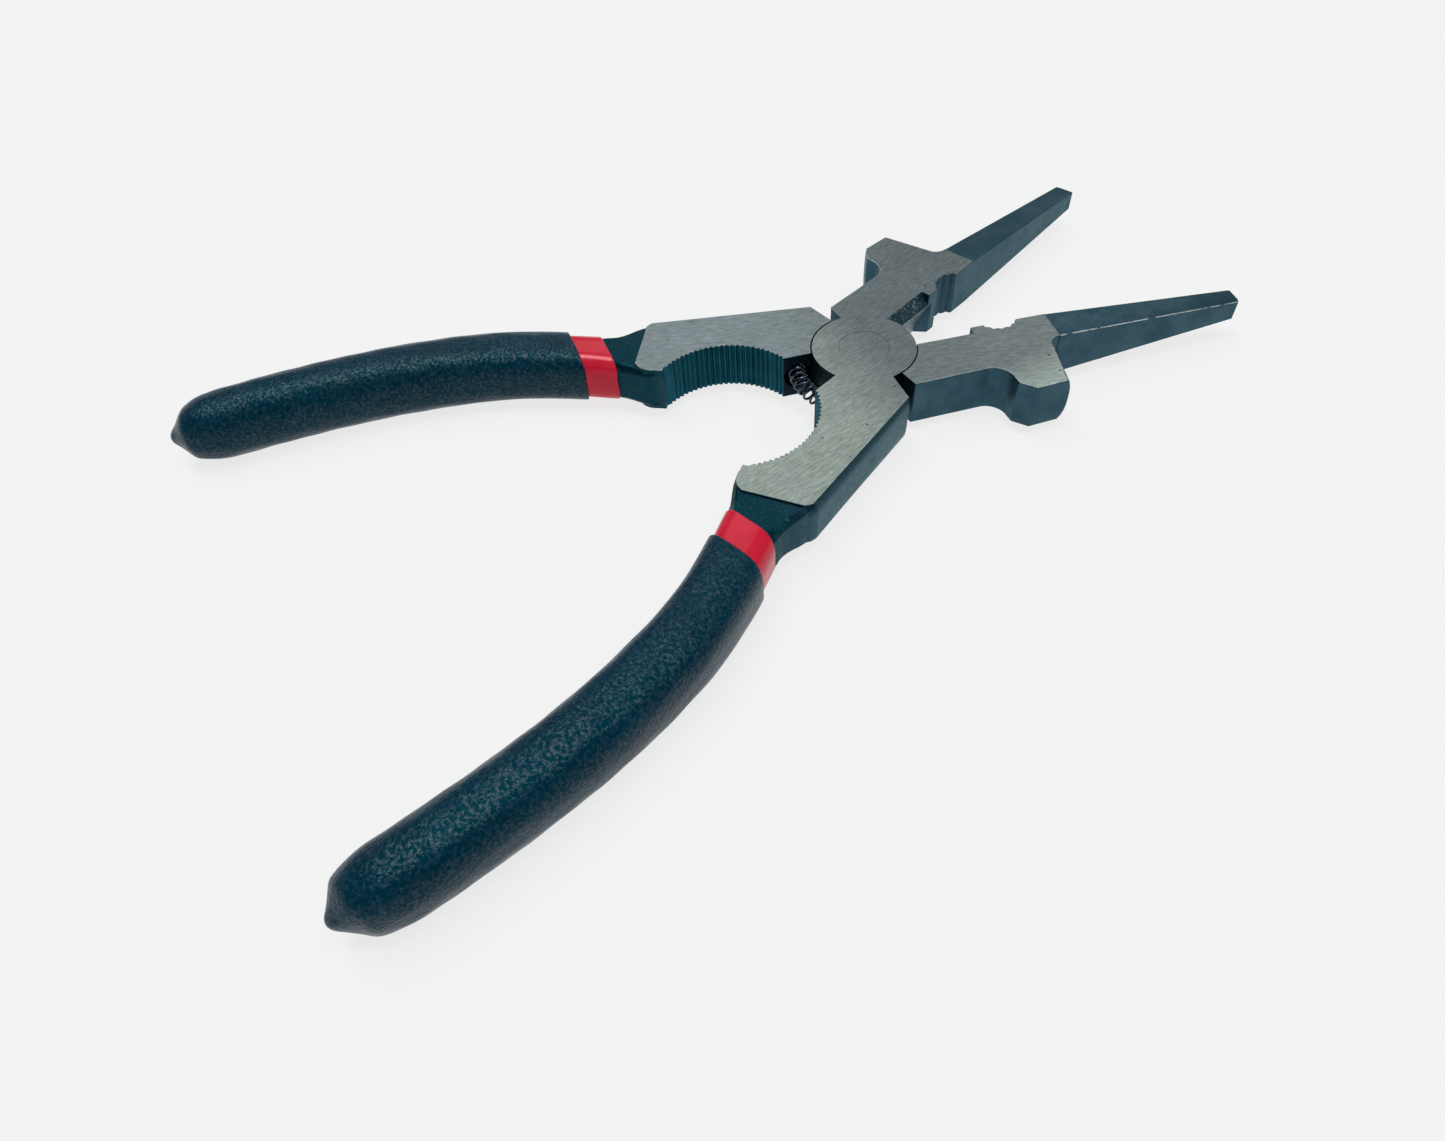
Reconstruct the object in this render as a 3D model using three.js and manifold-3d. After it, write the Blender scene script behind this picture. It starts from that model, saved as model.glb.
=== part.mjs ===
// Spring-loaded wire-welding pliers: two forged levers crossed in a lap joint, a flush rivet,
// a coil spring between the handles, and a red and a dark dipped vinyl layer on each handle.
//
// Millimetres. The origin is on the pivot axis at the back face of the head. +Y runs towards the
// jaw tips and +Z from the back face to the front face. The pliers stand open at the spring's rest.
//
// Each lever is drawn in its own frame as it lies when the pliers are shut: z = 0 in the middle of
// the head, y along the closing line. A plan point is given as (out, along): "out" is the distance
// from the closing line, which is +X on the handle side and -X on the jaw side.

import * as THREE from 'three';
import { mergeVertices } from 'three/addons/utils/BufferGeometryUtils.js';
import Module from 'manifold-3d';

const wasm = await Module();
wasm.setup();

// ---------------------------------------------------------------- driving dimensions

const REST_HALF_ANGLE = 16.92; // degrees from the closing line to each lever, spring at rest

const HEAD_HALF = 4.675; // half the thickness of the ground head
const BOSS_RADIUS = 9.9; // the round boss of the lap joint
const BOSS_CLEARANCE = 0.3; // between a boss and the other lever
const LAP_GAP = 0.1; // from the middle plane to each half of the lap
const JAW_GAP = 0.1; // from the closing line to each jaw face

const RIVET_HEAD_RADIUS = 4.8;
const RIVET_SHANK_RADIUS = 4.0;
const RIVET_HEAD_DEPTH = 0.8;
const RIVET_CLEARANCE = 0.1;

// The jaw's outer side: from the boss to the shoulder, then along the jaw to the hammer horn.
const JAW = { bossOut: 9.3, boss: 4.45, shoulderOut: 12.75, shoulder: 5.6, sideOut: 12.25, side: 19.7 };
const FILLET_RADIUS = 3.8; // from the jaw's side into the hammer horn
const HORN = { heelOut: 17.6, heel: 23.7, nearOut: 19.9, near: 26.2, farOut: 19.4, far: 32.15 };
const HEAD_END = 36.5; // the ground face ends here and the nose begins
const NOSE_WIDTH = 7.1;
const NOSE_FILLET_RADIUS = 3.3;
const TIP = { along: 76.6, width: 4.15, half: 2.08, chamfer: 1.0 };

const NOTCH = { along: 27.25, halfLength: 3.25, depth: 1.8, teeth: 5, toothDepth: 0.3 };

const CUTTER_END = 21.2;
const CUTTER_EDGE_HEIGHT = 2.35; // the edge lies this far towards the front from the middle
const CUTTER_FRONT_SET_BACK = 2.0; // how far the recess opens at the front face
const CUTTER_BACK_SET_BACK = 2.7;
const CUTTER_BACK_SLANT = 2.4; // the recess ends earlier at the back, by this much

const GRIP_ARC = { out: -6.68, along: -28.15, radius: 14.7, from: 58.8, to: -36.6 };
const GRIP_TEETH = 24;
const GRIP_TOOTH_DEPTH = 0.42;
// The handle block: its outer side runs from a shoulder by the boss to a rounded far corner, and
// its inner side from the flat that the spring bears on, round the bite, to a last broad tooth.
const SPRING_FACE = { out: 1.1, along: -8 };
const BLOCK = {
  bossOut: 9.75, boss: -3.5, cheekOut: 11.9, cheek: -4.6, shoulderOut: 15.1, shoulder: -6.15,
  endOut: 18.85, end: -37.3, cornerOut: 17.9, corner: -38.9, heelOut: 7.7, heel: -43,
};
const LAST_TOOTH = [[4.75, -37.95], [3.8, -38.35], [4.35, -39.8]];
const BLOCK_BULGE = 0.9; // the forged outer side stands this far outside the ground face
const BLOCK_CHAMFER = 1.3;

const SPRING_ARC_RADIUS = 12.7; // pivot to the spring's curved axis
const SPRING_COIL_RADIUS = 1.65; // to the middle of the wire
const SPRING_WIRE_RADIUS = 0.25;
const SPRING_TURNS = 8.5;
const SPRING_REACH = 2.85; // how far past a lever's closing line each end runs, into its pocket
const SPRING_LIFT = 0.3; // the coil's axis lies this far in front of the middle
const POCKET = { along: -12.7, radius: 2.75, bottom: 3.9 };

// Where the handle's centreline runs, as (out, along) from inside the block to the grip's end.
const HANDLE_ROUTE = [
  [10.4, -39], [13.7, -48], [17.4, -58], [20.3, -70], [21.4, -87], [20.2, -106], [16.4, -131.6],
];
// Where each layer starts and ends along the lever. A dipped layer's edge lies square to the lever.
const NECK_START = -40;
const NECK_END = -47;
const TANG_END = -122;
const SLEEVE_START = -47.3;
const SLEEVE_END = -129.2;
const GRIP_START = -53.3;
const GRIP_END = -131.3;
const LAYER_GAP = 0.15;
const END_LENGTH = 11.5; // each layer closes in over this length
const NUB_LENGTH = 1.9; // the drip left at a dipped layer's very end
const NUB_SHARE = 0.36; // the nub's root against the whole section
const NUB_TIP_SHARE = 0.12;

// Half widths, half heights and squareness of the layers, at the grip's start, midway and its end.
// The squareness is the exponent of the section: 2 is an ellipse, and more is boxier.
const GRIP_WIDTHS = [6.3, 6.1, 6.1];
const GRIP_HEIGHTS = [5.7, 6.55, 6.5];
const SQUARENESS = [3.2, 2.5, 2.3];
const SLEEVE_DEPTH = 0.5; // from the grip's surface to the sleeve beneath it
const TANG_WIDTHS = [5.2, 4.6, 3.4];
const TANG_HEIGHTS = [4.3, 4.5, 3.9];
const NECK_SPREAD = 2.2; // how much wider the neck is at the block than at the sleeve, each side
const NECK_SQUARENESS = 4.5;

const FULL_TURN = 2 * Math.PI;
const OVERRUN = 1; // how far a cutting tool runs past the face that it opens

// ---------------------------------------------------------------- solids

function solid(geometry) {
  const bare = geometry.clone();
  bare.deleteAttribute('normal');
  bare.deleteAttribute('uv');
  const merged = mergeVertices(bare, 1e-4);
  return new wasm.Manifold(new wasm.Mesh({
    numProp: 3,
    vertProperties: new Float32Array(merged.getAttribute('position').array),
    triVerts: new Uint32Array(merged.index.array),
  }));
}

function mesh(name, body, material) {
  const { vertProperties, triVerts } = body.getMesh();
  const geometry = new THREE.BufferGeometry();
  geometry.setAttribute('position', new THREE.BufferAttribute(vertProperties, 3));
  geometry.setIndex(new THREE.BufferAttribute(triVerts, 1));
  geometry.computeVertexNormals();
  const made = new THREE.Mesh(geometry, material);
  made.name = name;
  return made;
}

// A closed body through rings of equal point counts, with a flat lid on the first and the last.
// The rings may all turn either way, because a body that comes out inside out is turned round.
function loft(rings) {
  const count = rings[0].length;
  const positions = rings.flat().flatMap((p) => [p.x, p.y, p.z]);
  const faces = [];
  for (let r = 0; r + 1 < rings.length; r++) {
    for (let i = 0; i < count; i++) {
      const a = r * count + i;
      const b = r * count + ((i + 1) % count);
      faces.push(a, b, b + count, a, b + count, a + count);
    }
  }
  const lid = lidTriangles(rings[0]);
  const last = (rings.length - 1) * count;
  for (const [a, b, c] of lid) {
    faces.push(a, c, b);
    faces.push(last + a, last + b, last + c);
  }
  const geometry = new THREE.BufferGeometry();
  geometry.setAttribute('position', new THREE.Float32BufferAttribute(positions, 3));
  geometry.setIndex(signedVolume(rings.flat(), faces) < 0 ? faces.reverse() : faces);
  return solid(geometry);
}

function signedVolume(points, faces) {
  let sixfold = 0;
  for (let i = 0; i < faces.length; i += 3) {
    const [a, b, c] = [0, 1, 2].map((k) => points[faces[i + k]]);
    sixfold += a.dot(b.clone().cross(c));
  }
  return sixfold / 6;
}

// The triangles of a flat ring, turned as the ring is, found in the plane that the ring lies in.
function lidTriangles(ring) {
  const normal = new THREE.Vector3();
  ring.forEach((p, i) => normal.add(p.clone().cross(ring[(i + 1) % ring.length])));
  normal.normalize();
  const across = ring[1].clone().sub(ring[0]).normalize();
  const up = normal.clone().cross(across);
  const flat = ring.map((p) => new THREE.Vector2(p.dot(across), p.dot(up)));
  return THREE.ShapeUtils.triangulateShape(flat, []);
}

const levelRing = (outline, height) => outline.map((p) => new THREE.Vector3(p.x, p.y, height));

const plate = (outline, low, high) => loft([levelRing(outline, low), levelRing(outline, high)]);

const onJawSide = (outline) => outline.map((p) => new THREE.Vector2(-p.x, p.y));

function disc(radius, low, high) {
  const geometry = new THREE.CylinderGeometry(radius, radius, high - low, 96);
  geometry.rotateX(Math.PI / 2);
  geometry.translate(0, 0, (low + high) / 2);
  return solid(geometry);
}

function turned(profile, segments) {
  const points = profile.map(([radius, height]) => new THREE.Vector2(radius, height));
  const geometry = new THREE.LatheGeometry(points, segments);
  geometry.rotateX(Math.PI / 2);
  return solid(geometry);
}

// ---------------------------------------------------------------- plan outlines

// A round bite whose rim is cut into teeth: crests on the radius, roots a tooth's depth beyond it.
function toothedArc({ out, along, radius, from, to, teeth, toothDepth }) {
  const points = [];
  for (let i = 0; i <= 2 * teeth; i++) {
    const angle = THREE.MathUtils.degToRad(from + ((to - from) * i) / (2 * teeth));
    const r = radius + (i % 2 ? toothDepth : 0);
    points.push(new THREE.Vector2(out + r * Math.cos(angle), along + r * Math.sin(angle)));
  }
  return points;
}

function jawOutline() {
  const { halfLength, depth, along, teeth, toothDepth } = NOTCH;
  const radius = (halfLength ** 2 + depth ** 2) / (2 * depth);
  const halfSpan = THREE.MathUtils.radToDeg(Math.asin(halfLength / radius));
  const notch = toothedArc({
    out: JAW_GAP + depth - radius, along, radius, from: halfSpan, to: -halfSpan, teeth, toothDepth,
  });
  const outer = new THREE.Path();
  outer.moveTo(JAW_GAP, 0);
  outer.lineTo(JAW.bossOut, JAW.boss);
  outer.lineTo(JAW.shoulderOut, JAW.shoulder);
  outer.lineTo(JAW.sideOut, JAW.side);
  outer.absarc(JAW.sideOut + FILLET_RADIUS, JAW.side, FILLET_RADIUS, Math.PI, Math.PI / 2, true);
  outer.lineTo(HORN.heelOut, HORN.heel);
  outer.lineTo(HORN.nearOut, HORN.near);
  outer.lineTo(HORN.farOut, HORN.far);
  const filletOut = NOSE_WIDTH + NOSE_FILLET_RADIUS;
  outer.absarc(filletOut, HEAD_END, NOSE_FILLET_RADIUS, -Math.PI / 2, -Math.PI, true);
  outer.lineTo(JAW_GAP, HEAD_END);
  return [...withoutRepeats(outer.getPoints(8)), ...notch];
}

// The handle block in plan. The bulge moves its outer side and far corner outwards.
function blockOutline(bulge) {
  const inner = [new THREE.Vector2(SPRING_FACE.out, SPRING_FACE.along)];
  const bite = toothedArc({ ...GRIP_ARC, teeth: GRIP_TEETH, toothDepth: GRIP_TOOTH_DEPTH });
  const { shoulderOut, shoulder, endOut, end, cornerOut, corner, heelOut, heel } = BLOCK;
  const outer = new THREE.Path(LAST_TOOTH.map(([x, y]) => new THREE.Vector2(x, y)));
  outer.quadraticCurveTo(5, heel + 0.4, heelOut, heel);
  outer.lineTo(cornerOut + bulge, corner - bulge / 3);
  outer.quadraticCurveTo(endOut + bulge, (corner + end) / 2, endOut + bulge, end);
  outer.lineTo(shoulderOut + bulge / 4, shoulder);
  outer.lineTo(BLOCK.cheekOut, BLOCK.cheek);
  outer.lineTo(BLOCK.bossOut, BLOCK.boss);
  outer.lineTo(0, 0);
  return [...inner, ...bite, ...withoutRepeats(outer.getPoints(8))];
}

const withoutRepeats = (points) => points.filter((p, i) => !i || p.distanceTo(points[i - 1]) > 1e-3);

// ---------------------------------------------------------------- the lever

const handleRoute = new THREE.SplineCurve(HANDLE_ROUTE.map(([x, y]) => new THREE.Vector2(x, y)));

// How far out the handle's centreline lies at a place along the lever.
function centreOut(along) {
  let near = 0;
  let far = 1;
  for (let i = 0; i < 30; i++) {
    const middle = (near + far) / 2;
    if (handleRoute.getPoint(middle).y > along) near = middle;
    else far = middle;
  }
  return handleRoute.getPoint(near).x;
}

// A value that runs through three figures: at the grip's start, midway and at its end.
function alongGrip([start, middle, end], along) {
  const t = THREE.MathUtils.clamp((along - GRIP_START) / (GRIP_END - GRIP_START), 0, 1);
  const control = 2 * middle - (start + end) / 2;
  return (1 - t) ** 2 * start + 2 * (1 - t) * t * control + t ** 2 * end;
}

// One section of a handle layer, square to the lever.
function handleRing(along, halfWidth, halfHeight, squareness, points = 20) {
  const power = 2 / squareness;
  const ring = [];
  for (let i = 0; i < points; i++) {
    const angle = ((i + 0.5) / points) * FULL_TURN;
    const cos = Math.cos(angle);
    const sin = Math.sin(angle);
    const across = Math.sign(cos) * Math.abs(cos) ** power * halfWidth;
    const height = Math.sign(sin) * Math.abs(sin) ** power * halfHeight;
    ring.push(new THREE.Vector3(centreOut(along) + across, along, height));
  }
  return ring;
}

// How far a layer has closed in, at a distance from its end: a rounded cone, then a small nub.
function endShare(distance) {
  if (distance >= END_LENGTH) return 1;
  if (distance <= NUB_LENGTH) {
    return THREE.MathUtils.mapLinear(distance, 0, NUB_LENGTH, NUB_TIP_SHARE, NUB_SHARE);
  }
  const closed = (END_LENGTH - distance) / (END_LENGTH - NUB_LENGTH);
  return NUB_SHARE + (1 - NUB_SHARE) * Math.sqrt(1 - closed ** 2);
}

// A handle layer from one place along the lever to another, where it closes in.
function handleLayer(from, to, halfWidth, halfHeight) {
  const straightSteps = 12;
  const closingSteps = 4;
  const places = [];
  for (let i = 0; i < straightSteps; i++) {
    places.push(THREE.MathUtils.lerp(from, to + END_LENGTH, i / straightSteps));
  }
  for (let i = 0; i <= closingSteps; i++) {
    const turn = (i / closingSteps) * (Math.PI / 2);
    places.push(to + NUB_LENGTH + (END_LENGTH - NUB_LENGTH) * (1 - Math.sin(turn)));
  }
  places.push(to);
  return loft(places.map((along) => {
    const share = endShare(along - to);
    const squareness = alongGrip(SQUARENESS, along);
    return handleRing(along, halfWidth(along) * share, halfHeight(along) * share, squareness);
  }));
}

const tangWidth = (along) => alongGrip(TANG_WIDTHS, along);
const tangHeight = (along) => alongGrip(TANG_HEIGHTS, along);
const gripWidth = (along) => alongGrip(GRIP_WIDTHS, along);
const gripHeight = (along) => alongGrip(GRIP_HEIGHTS, along);

const tang = () => handleLayer(NECK_END + OVERRUN, TANG_END, tangWidth, tangHeight);

// The neck spreads from the sleeve to the block, where it becomes as wide as the block's end.
function neck() {
  const steps = 5;
  const rings = [];
  for (let i = 0; i <= steps; i++) {
    const along = THREE.MathUtils.lerp(NECK_END, NECK_START, i / steps);
    const width = tangWidth(along) + NECK_SPREAD * (i / steps) ** 1.5;
    rings.push(handleRing(along, width, tangHeight(along), NECK_SQUARENESS));
  }
  return loft(rings);
}

function nose() {
  const section = (along, width, half) => [
    [JAW_GAP, -half], [JAW_GAP, half], [width, half], [width, -half],
  ].map(([out, height]) => new THREE.Vector3(-out, along, height));
  return loft([
    section(HEAD_END - 0.5, NOSE_WIDTH, HEAD_HALF),
    section(TIP.along - TIP.chamfer / 2, TIP.width, TIP.half),
    section(TIP.along, TIP.width - TIP.chamfer, TIP.half - 0.15),
  ]);
}

// What the cutter's two bevels take off the jaw. The front is +Z for a lever whose boss is in front.
function cutterRecess(front) {
  const section = (along, corners) => corners.map(
    ([out, height]) => new THREE.Vector3(-out, along, front * height),
  );
  const edge = [JAW_GAP, CUTTER_EDGE_HEIGHT];
  const slope = (CUTTER_FRONT_SET_BACK - JAW_GAP) / (HEAD_HALF - CUTTER_EDGE_HEIGHT);
  const frontCorners = [
    [-OVERRUN, CUTTER_EDGE_HEIGHT], [-OVERRUN, HEAD_HALF + OVERRUN],
    [CUTTER_FRONT_SET_BACK + slope * OVERRUN, HEAD_HALF + OVERRUN], edge,
  ];
  const backCorners = [
    [-OVERRUN, -HEAD_HALF - OVERRUN], [-OVERRUN, CUTTER_EDGE_HEIGHT], edge,
    [CUTTER_BACK_SET_BACK, -HEAD_HALF - OVERRUN],
  ];
  const slanted = section(CUTTER_END + CUTTER_BACK_SLANT / 2, backCorners);
  slanted[3].y -= CUTTER_BACK_SLANT;
  return loft([section(0, frontCorners), section(CUTTER_END, frontCorners)])
    .add(loft([section(0, backCorners), slanted]));
}

function springPocket() {
  const depth = POCKET.bottom + OVERRUN;
  const geometry = new THREE.CylinderGeometry(POCKET.radius, POCKET.radius, depth, 40);
  geometry.rotateZ(Math.PI / 2);
  geometry.translate(POCKET.bottom - depth / 2, POCKET.along, 0);
  return solid(geometry);
}

function rivetProfile(clearance, overrun) {
  const head = RIVET_HEAD_RADIUS + clearance;
  const shank = RIVET_SHANK_RADIUS + clearance;
  const face = HEAD_HALF + overrun;
  const neck = HEAD_HALF - RIVET_HEAD_DEPTH;
  const flare = overrun ? [[head, HEAD_HALF]] : [];
  return [
    [0, -face], [head, -face], ...flare.map(([radius, height]) => [radius, -height]),
    [shank, -neck], [shank, neck], ...flare, [head, face], [0, face],
  ];
}

// A lever with its boss on the +Z half. The cutter's edge lies towards the side given by front.
function lever(front) {
  const jaw = plate(onJawSide(jawOutline()), -HEAD_HALF, HEAD_HALF).subtract(cutterRecess(front));
  const chamferStart = HEAD_HALF - BLOCK_CHAMFER;
  const block = loft([
    levelRing(blockOutline(0), -HEAD_HALF),
    levelRing(blockOutline(BLOCK_BULGE), -chamferStart),
    levelRing(blockOutline(BLOCK_BULGE), chamferStart),
    levelRing(blockOutline(0), HEAD_HALF),
  ]);
  return jaw
    .add(nose())
    .add(block)
    .add(neck())
    .add(tang())
    .add(disc(BOSS_RADIUS, 0, HEAD_HALF))
    .subtract(disc(BOSS_RADIUS + BOSS_CLEARANCE, -HEAD_HALF - OVERRUN, LAP_GAP))
    .subtract(springPocket())
    .subtract(turned(rivetProfile(RIVET_CLEARANCE, OVERRUN), 64));
}

// ---------------------------------------------------------------- the dipped layers

const less = (size, depth) => (along) => size(along) - depth;

function innerSleeve() {
  const width = less(gripWidth, SLEEVE_DEPTH);
  const height = less(gripHeight, SLEEVE_DEPTH);
  const room = handleLayer(
    SLEEVE_START + OVERRUN, TANG_END - LAYER_GAP,
    less(tangWidth, -LAYER_GAP), less(tangHeight, -LAYER_GAP),
  );
  return handleLayer(SLEEVE_START, SLEEVE_END, width, height).subtract(room);
}

function outerGrip() {
  const depth = SLEEVE_DEPTH - LAYER_GAP;
  const room = handleLayer(
    GRIP_START + OVERRUN, SLEEVE_END - LAYER_GAP, less(gripWidth, depth), less(gripHeight, depth),
  );
  return handleLayer(GRIP_START, GRIP_END, gripWidth, gripHeight).subtract(room);
}

// ---------------------------------------------------------------- the spring

// A helix wound round an arc about the pivot, from one handle's pocket to the other's.
class BentHelix extends THREE.Curve {
  constructor(halfAngle) {
    super();
    this.halfAngle = halfAngle;
  }

  getPoint(t, target = new THREE.Vector3()) {
    const swing = THREE.MathUtils.lerp(-this.halfAngle, this.halfAngle, t);
    const wind = t * SPRING_TURNS * FULL_TURN;
    const radius = SPRING_ARC_RADIUS + SPRING_COIL_RADIUS * Math.cos(wind);
    const height = SPRING_LIFT + SPRING_COIL_RADIUS * Math.sin(wind);
    return target.set(radius * Math.sin(swing), -radius * Math.cos(swing), height);
  }
}

function returnSpring() {
  const seat = Math.asin(SPRING_REACH / SPRING_ARC_RADIUS);
  const halfAngle = THREE.MathUtils.degToRad(REST_HALF_ANGLE) + seat;
  const wire = new THREE.Shape();
  wire.absarc(0, 0, SPRING_WIRE_RADIUS, 0, FULL_TURN);
  const geometry = new THREE.ExtrudeGeometry(wire, {
    curveSegments: 4,
    steps: Math.round(SPRING_TURNS * 14),
    extrudePath: new BentHelix(halfAngle),
    bevelEnabled: false,
  });
  return solid(geometry);
}

// ---------------------------------------------------------------- the assembly

const steel = new THREE.MeshStandardMaterial({ color: 0x8d9899, roughness: 0.42, metalness: 0.9 });
const rivetSteel = new THREE.MeshStandardMaterial({ color: 0x97a0a1, roughness: 0.38, metalness: 0.9 });
const springSteel = new THREE.MeshStandardMaterial({ color: 0x2a3338, roughness: 0.35, metalness: 0.8 });
const redVinyl = new THREE.MeshStandardMaterial({ color: 0xc62f42, roughness: 0.3, metalness: 0 });
const darkVinyl = new THREE.MeshStandardMaterial({ color: 0x12242a, roughness: 0.6, metalness: 0 });

// One lever with its two dipped layers, in the lever's own frame.
function halfOf(letter, front) {
  const half = new THREE.Group();
  half.add(mesh(`lever_${letter}`, lever(front), steel));
  half.add(mesh(`inner_sleeve_${letter}`, innerSleeve(), redVinyl));
  half.add(mesh(`outer_grip_${letter}`, outerGrip(), darkVinyl));
  return half;
}

const pliers = new THREE.Group();
pliers.position.z = HEAD_HALF;

const nearHalf = halfOf('a', 1);
nearHalf.add(mesh('pivot_rivet', turned(rivetProfile(0, 0), 64), rivetSteel));
nearHalf.rotation.z = THREE.MathUtils.degToRad(REST_HALF_ANGLE);
pliers.add(nearHalf);

// The other lever is the same forging turned over, so its boss lies at the back.
const turnedOver = halfOf('b', -1);
turnedOver.rotation.y = Math.PI;
const farHalf = new THREE.Group();
farHalf.add(turnedOver);
farHalf.rotation.z = -THREE.MathUtils.degToRad(REST_HALF_ANGLE);
pliers.add(farHalf);

pliers.add(mesh('return_spring', returnSpring(), springSteel));

const object = new THREE.Group();
object.add(pliers);

export default object;
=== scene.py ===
"""Looks of the spring-loaded wire-welding pliers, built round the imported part."""

import math

import bmesh
import bpy
import numpy as np
from mathutils import Matrix, Vector


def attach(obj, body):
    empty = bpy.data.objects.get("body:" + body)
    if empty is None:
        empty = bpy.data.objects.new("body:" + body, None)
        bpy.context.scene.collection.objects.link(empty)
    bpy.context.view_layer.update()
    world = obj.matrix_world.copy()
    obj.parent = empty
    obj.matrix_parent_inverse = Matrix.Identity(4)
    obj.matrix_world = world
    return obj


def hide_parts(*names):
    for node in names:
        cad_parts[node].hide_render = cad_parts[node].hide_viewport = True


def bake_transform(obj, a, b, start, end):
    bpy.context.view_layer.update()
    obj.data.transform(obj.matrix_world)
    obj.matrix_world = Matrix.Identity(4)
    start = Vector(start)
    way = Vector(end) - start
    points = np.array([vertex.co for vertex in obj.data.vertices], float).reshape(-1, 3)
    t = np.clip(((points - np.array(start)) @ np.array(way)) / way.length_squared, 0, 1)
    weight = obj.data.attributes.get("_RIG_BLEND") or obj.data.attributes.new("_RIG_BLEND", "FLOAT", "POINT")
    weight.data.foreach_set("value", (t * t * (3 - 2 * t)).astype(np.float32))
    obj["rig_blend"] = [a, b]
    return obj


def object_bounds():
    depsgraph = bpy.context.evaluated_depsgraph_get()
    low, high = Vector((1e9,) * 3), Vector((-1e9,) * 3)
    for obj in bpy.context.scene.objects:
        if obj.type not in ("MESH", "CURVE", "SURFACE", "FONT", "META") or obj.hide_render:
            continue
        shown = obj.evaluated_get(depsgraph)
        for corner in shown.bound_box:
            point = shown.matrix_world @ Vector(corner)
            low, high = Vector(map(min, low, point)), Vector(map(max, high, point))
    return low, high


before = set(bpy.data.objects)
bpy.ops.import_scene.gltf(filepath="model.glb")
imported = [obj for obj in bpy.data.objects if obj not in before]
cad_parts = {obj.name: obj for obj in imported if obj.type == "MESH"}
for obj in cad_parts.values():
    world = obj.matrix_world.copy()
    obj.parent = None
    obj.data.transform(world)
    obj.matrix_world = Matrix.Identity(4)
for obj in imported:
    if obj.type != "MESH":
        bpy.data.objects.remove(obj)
cad_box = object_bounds()

# ------------------------------------------------------------------ sizes, in millimetres
# Each lever is drawn in its own frame, shut: z = 0 in the middle of the head, y along the closing
# line, x outwards on the handle side. A plan point is (out, along), and the jaw side is at -x.

MM = 0.001
REST = math.radians(16.92)  # how far each lever stands open from the middle line
HALF = 4.675  # half of the head's thickness
LIFT = Matrix.Translation((0, 0, HALF * MM))
PLACE = {
    "a": LIFT @ Matrix.Rotation(REST, 4, "Z") @ Matrix.Scale(MM, 4),
    "b": LIFT @ Matrix.Rotation(-REST, 4, "Z") @ Matrix.Rotation(math.pi, 4, "Y") @ Matrix.Scale(MM, 4),
}
BODY = {"a": "near_lever", "b": "far_lever"}
FRONT = {"a": 1, "b": -1}  # the side of a lever's own frame that faces up
SLANT = {"a": 0.1, "b": 0.75}  # how far the dipped layers' mouths lean along the handle

BOSS_RADIUS = 9.9
LAP_RADIUS = 10.2
LAP_GAP = 0.1
JAW_GAP = 0.1
HEAD_END = 36.5
NOSE_FILLET = dict(out=9.75, along=HEAD_END, radius=2.65, start=-90, end=-180, steps=14)
HORN_FILLET = dict(out=16.05, along=19.7, radius=3.8, start=180, end=90, steps=14)
BITE = dict(out=-6.68, along=-28.15, radius=14.7, start=58.8, end=-36.6, teeth=24, depth=0.34)
BITE_WALL, BITE_BAND = 14.85, 0.45  # a radius about midway between crests and roots, and how near counts
NOTCH_ALONG, NOTCH_HALF, NOTCH_DEPTH = 27.25, 3.25, 1.8
NOTCH_TEETH = dict(teeth=5, depth=0.24, crest=0.35, root=0.15)
NOSE = ((36.0, 7.1, HALF), (76.1, 4.15, 2.08), (76.6, 3.15, 1.93))  # along, width, half thickness
CUTTER_EDGE = 2.35  # the cutting edge's height above the middle
CUTTER_FRONT_OUT, CUTTER_BACK_OUT = 2.0, 2.7  # how far the two bevels open at the faces
CUTTER_SLANT_END, CUTTER_FRONT_END, CUTTER_BACK_END = 20.0, 21.2, 22.4  # where they end along the jaw
OVERRUN = 1.0  # how far a cutting tool runs past the face that it opens
NECK_TOP = 4.3
NECK_PLACES = (-36.5, -38, -39.5, -41, -42.2, -43.4, -44.6, -45.8, -46.9, -48.3)
NECK_INNER = (5.6, 4.75, 4.3, 4.35, 5.0, 5.85, 6.75, 7.6, 8.35, 8.9)
NECK_OUTER = (18.4, 18.8, 18.9, 18.7, 18.45, 18.3, 18.3, 18.45, 18.7, 18.85)
NECK_CHAMFERS = (0.5, 0.55, 0.65, 0.8, 0.95, 1.1, 1.2, 1.25, 1.25, 1.25)
POCKET_RADIUS, POCKET_SPAN, POCKET_SHIFT, POCKET_ALONG = 2.75, (-1, 4.9), -1.0, -12.7
HOLE_RADIUS, SHANK_HOLE, RIVET_SEAT = 4.815, 4.1, 0.8
JAW_LEVELS = (-1, -0.92, -0.8, -0.6, -0.3, 0, 0.3, 0.6, 0.8, 0.92, 1)  # shares of HALF
BLOCK_HEIGHTS = (HALF, 4.1, 3.5, 3.0, 2.3, 1.2)
BLOCK_BULGES = (0, 0.4, 0.76, 0.92, 0.98, 1.0)
BLOCK_SWELL = 0.95
ROUTE = [(10.4, -39), (13.7, -48), (17.4, -58), (20.3, -70), (21.4, -87), (20.2, -106), (16.4, -131.6)]
SLEEVE_START, SLEEVE_END = -47.3, -129.2
GRIP_START, GRIP_END = -53.3, -131.3
GRIP_WIDTHS = (6.3, 6.1, 6.1)
GRIP_HEIGHTS = (5.7, 6.55, 6.5)
SQUARENESS = (3.2, 2.5, 2.3)
TANG_WIDTHS = (5.2, 4.6, 3.4)
TANG_HEIGHTS = (4.3, 4.5, 3.9)
TANG_START, TANG_TAPER, TANG_SQUARE = -45.5, -114, 3.2


# ------------------------------------------------------------------ mesh helpers


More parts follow.
